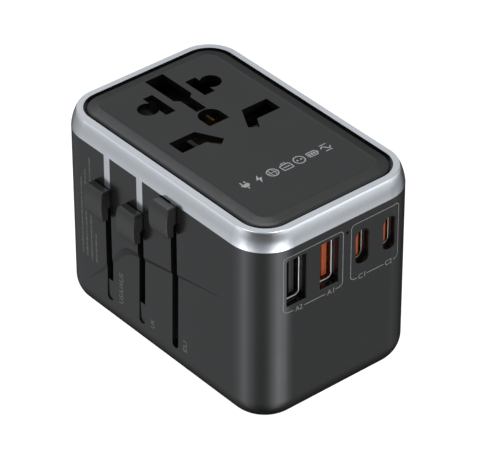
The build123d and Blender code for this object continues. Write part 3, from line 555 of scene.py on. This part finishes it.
def print_port_frames(face, ink):
    """White outlines round the two pairs of ports, broken by the port labels."""
    bm = bmesh.new()
    r = FRAME_CORNER_R
    for left, right, bottom, top, gaps in PORT_FRAMES:
        path = divided((gaps[0][0], bottom), (left + r, bottom))[:-1]
        path += arc(left + r, bottom + r, r, 270, 180, 6)
        path += divided((left, bottom + r), (left, top - r), 2.0)[1:-1]
        path += arc(left + r, top - r, r, 180, 90, 6)
        path += divided((left + r, top), (right - r, top))[1:-1]
        path += arc(right - r, top - r, r, 90, 0, 6)
        path += divided((right, top - r), (right, bottom + r), 2.0)[1:-1]
        path += arc(right - r, bottom + r, r, 0, -90, 6)
        path += divided((right - r, bottom), (gaps[1][1], bottom))[1:]
        line(bm, face, path, FRAME_LINE_W)
        line(bm, face, divided((gaps[0][1], bottom), (gaps[1][0], bottom)), FRAME_LINE_W)
    add_piece("port_frames", bm, ink, "case")


def print_dashes(face, ink):
    """Faint dashes of uneven length in place of small print."""
    bm = bmesh.new()
    for x, low, high in DASH_COLUMNS:
        z = low
        while z < high - 0.5:
            length = min(random.uniform(0.35, 1.5), high - z)
            half = random.uniform(0.24, 0.34)
            patch(bm, face, [(z, -x - half), (z + length, -x - half), (z + length, -x + half), (z, -x + half)])
            z += length + random.uniform(0.16, 0.3)
    add_piece("side_dashes", bm, ink, "case")


def shifted(points, u):
    """Moves an outline along the print."""
    return [(p + u, q) for p, q in points]


def box_outline(u0, v0, u1, v1):
    """A rectangle's corners."""
    return [(u0, v0), (u1, v0), (u1, v1), (u0, v1)]


def rounded_outline(u0, v0, u1, v1, r):
    """A rectangle with round corners."""
    path = arc(u1 - r, v1 - r, r, 0, 90, 4) + arc(u0 + r, v1 - r, r, 90, 180, 4)
    return path + arc(u0 + r, v0 + r, r, 180, 270, 4) + arc(u1 - r, v0 + r, r, 270, 360, 4)


def draw_plug(bm, face, u):
    """A two-pin plug with its lead."""
    patch(bm, face, shifted([(-1.05, 0.5), (-1.05, -0.1), (-0.6, -0.75), (0.6, -0.75), (1.05, -0.1), (1.05, 0.5)], u))
    for side in (-0.55, 0.55):
        patch(bm, face, box_outline(u + side - 0.18, 0.62, u + side + 0.18, 1.5))
    patch(bm, face, box_outline(u - 0.17, -1.5, u + 0.17, -0.85))


def draw_bolt(bm, face, u):
    """A lightning bolt."""
    patch(bm, face, shifted([(0.35, 1.55), (-0.95, -0.2), (-0.1, -0.2), (-0.35, -1.55), (0.95, 0.25), (0.1, 0.25)], u))


def draw_globe(bm, face, u):
    """A globe with its equator and meridians."""
    line(bm, face, ring_path(u, 0, 1.4, 1.4), 0.3, closed=True)
    line(bm, face, ring_path(u, 0, 0.62, 1.4), 0.2, closed=True, rise=INK_RISE + 0.002)
    line(bm, face, [(u - 1.4, 0), (u + 1.4, 0)], 0.2, rise=INK_RISE + 0.004)


def draw_case(bm, face, u):
    """A travel case with a handle."""
    line(bm, face, rounded_outline(u - 1.4, -1.25, u + 1.4, 0.75, 0.3), 0.3, closed=True)
    line(bm, face, [(u - 0.55, 0.75), (u - 0.55, 1.35), (u + 0.55, 1.35), (u + 0.55, 0.75)], 0.26,
         rise=INK_RISE + 0.002)
    patch(bm, face, box_outline(u - 1.0, -0.4, u + 1.0, -0.12))


def draw_socket(bm, face, u):
    """A round socket with two holes."""
    line(bm, face, ring_path(u, 0, 1.4, 1.4), 0.3, closed=True)
    for side in (-0.55, 0.55):
        patch(bm, face, ring_path(u + side, 0, 0.27, 0.27, 16))


def draw_battery(bm, face, u):
    """A charged battery."""
    line(bm, face, rounded_outline(u - 1.4, -0.85, u + 1.15, 0.85, 0.25), 0.26, closed=True)
    patch(bm, face, box_outline(u + 1.32, -0.35, u + 1.6, 0.35))
    for k in range(3):
        patch(bm, face, box_outline(u - 1.1 + 0.7 * k, -0.5, u - 0.65 + 0.7 * k, 0.5))


def draw_wave(bm, face, u):
    """An alternating current wave between two bars."""
    wave = [(u - 1.3 + 2.6 * i / 24, 0.65 * math.sin(2 * math.pi * i / 24)) for i in range(25)]
    line(bm, face, wave, 0.34)
    for side in (-1, 1):
        patch(bm, face, box_outline(u - 1.0, side * 1.25 - 0.13, u + 1.0, side * 1.25 + 0.13))


PICTOGRAMS = [draw_plug, draw_bolt, draw_globe, draw_case, draw_socket, draw_battery, draw_wave]
PICTOGRAM_PITCH = 3.95


def print_pictograms(face, ink):
    """A row of travel and power pictograms on the socket panel."""
    bm = bmesh.new()
    for i, draw in enumerate(PICTOGRAMS):
        draw(bm, face, (i - (len(PICTOGRAMS) - 1) / 2) * PICTOGRAM_PITCH)
    add_piece("panel_pictograms", bm, ink, "case")


def add_contacts(node, name, pitches, width, mat):
    """Plated contact strips on both broad faces of a port's tongue."""
    low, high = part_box(node)
    middle = (low + high) / 2
    bm = bmesh.new()
    for side, y in ((-1, low.y), (1, high.y)):
        for z in pitches:
            z0 = middle.z + (z - width / 2) * MM
            z1 = middle.z + (z + width / 2) * MM
            x0 = low.x + 0.45 * (high.x - low.x)
            x1 = high.x - 0.7 * MM
            y0 = y - side * 0.03 * MM
            y1 = y + side * 0.04 * MM
            prism(bm, [(x0, y0, z0), (x1, y0, z0), (x1, y0, z1), (x0, y0, z1)],
                  [(x0, y1, z0 + 0.03 * MM), (x1 - 0.1 * MM, y1, z0 + 0.03 * MM),
                   (x1 - 0.1 * MM, y1, z1 - 0.03 * MM), (x0, y1, z1 - 0.03 * MM)])
    add_piece(name, bm, mat, "case")


# The rolled lip of a port's shell, in metres.
RIM_INSET = 0.0003
RIM_HALF_W = 0.00019
RIM_HALF_D = 0.00025
RIM_SIDES = 12


def add_rim(node, name, corner, mat):
    """The rolled front lip of a port's metal shell."""
    low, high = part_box(node)
    middle = (low + high) / 2
    half_y = (high.y - low.y) / 2 - RIM_INSET
    half_z = (high.z - low.z) / 2 - RIM_INSET
    r = min(corner, half_y)
    path = []
    for sy, sz, start in ((1, 1, 0), (-1, 1, 90), (-1, -1, 180), (1, -1, 270)):
        path += arc(sy * (half_y - r), sz * (half_z - r), r, start, start + 90, 8)
    path = [p for i, p in enumerate(path) if math.dist(p, path[i - 1]) > 0.00002]
    bm = bmesh.new()
    loops = []
    for i, here in enumerate(path):
        along = Vector(path[(i + 1) % len(path)]) - Vector(path[i - 1])
        out = Vector((along.y, -along.x)).normalized()
        turns = [2 * math.pi * k / RIM_SIDES for k in range(RIM_SIDES)]
        loops.append([bm.verts.new((high.x + RIM_HALF_D * math.sin(t) - 0.0001,
                                    middle.y + here[0] + out.x * RIM_HALF_W * math.cos(t),
                                    middle.z + here[1] + out.y * RIM_HALF_W * math.cos(t))) for t in turns])
    for a, b in zip(loops, loops[1:] + loops[:1]):
        for k in range(RIM_SIDES):
            bm.faces.new((a[k], b[k], b[(k + 1) % RIM_SIDES], a[(k + 1) % RIM_SIDES])).smooth = True
    add_piece(name, bm, mat, "case")


def ink_material(name, tone, rough=0.5):
    """Pad-printed ink, slightly uneven in cover."""
    return plastic(name, (tone, tone, tone), rough, grain=2600.0, grain_depth=0.000004, spread=0.22)


def add_prints():
    """Everything printed on the case, and the contacts in its ports."""
    port_face = Face("outer_shell", (PORT_X / MM, 0, 0), (0, 1, 0), (0, 0, 1))
    front_face = Face("outer_shell", (0, FRONT_Y / MM, 0), (0, 0, 1), (-1, 0, 0))
    panel_face = Face("socket_panel", (17.6, 0, PANEL_TOP / MM), (0, 1, 0), (-1, 0, 0))
    white = ink_material("port_ink", 0.21)
    faint = ink_material("slot_ink", 0.12)
    ghost = ink_material("dash_ink", 0.075)
    bright = ink_material("panel_ink", 0.32)
    print_port_frames(port_face, white)
    for words, (u, v) in PORT_LABELS.items():
        text_piece("label_" + words.lower(), port_face, words, LABEL_L, LABEL_H, u, v, white)
    for words, (z, x, length, height) in SLOT_LABELS.items():
        text_piece("label_" + words.lower().replace("/", "_"), front_face, words, length, height, z, -x, faint)
    print_dashes(front_face, ghost)
    print_pictograms(panel_face, bright)
    gold = metal("contact_gold", (0.83, 0.62, 0.30), 0.22, grain=8000.0)
    lip = metal("port_lip", (0.72, 0.71, 0.70), 0.3, grain=8000.0)
    # The C-port rims use a darker, orange-brown copy of the lip metal. This paints the shade of their small, deep
    # openings and a reflection of the orange tongues inside.
    c_lip_painted_shade = metal("c_port_lip_painted_shade", (0.42, 0.35, 0.31), 0.3, grain=8000.0)
    for k in (1, 2):
        add_rim(f"usb_a_shell_{k}", f"usb_a_rim_{k}", 0.0011, lip)
        add_rim(f"usb_c_shell_{k}", f"usb_c_rim_{k}", 0.0018, c_lip_painted_shade)
        add_contacts(f"usb_a_tongue_{k}", f"usb_a_contacts_{k}", (-3.5, -1.0, 1.0, 3.5), 1.0, gold)
        add_contacts(f"usb_c_tongue_{k}", f"usb_c_contacts_{k}", [-2.75 + 0.5 * i for i in range(12)], 0.26, gold)


bpy.context.scene.view_settings.view_transform = "Standard"
add_camera()
add_world()
add_floor()
add_light("overhead", 230, 80, 1.2, 0.9, 4.0)
finish_nodes()
add_prints()
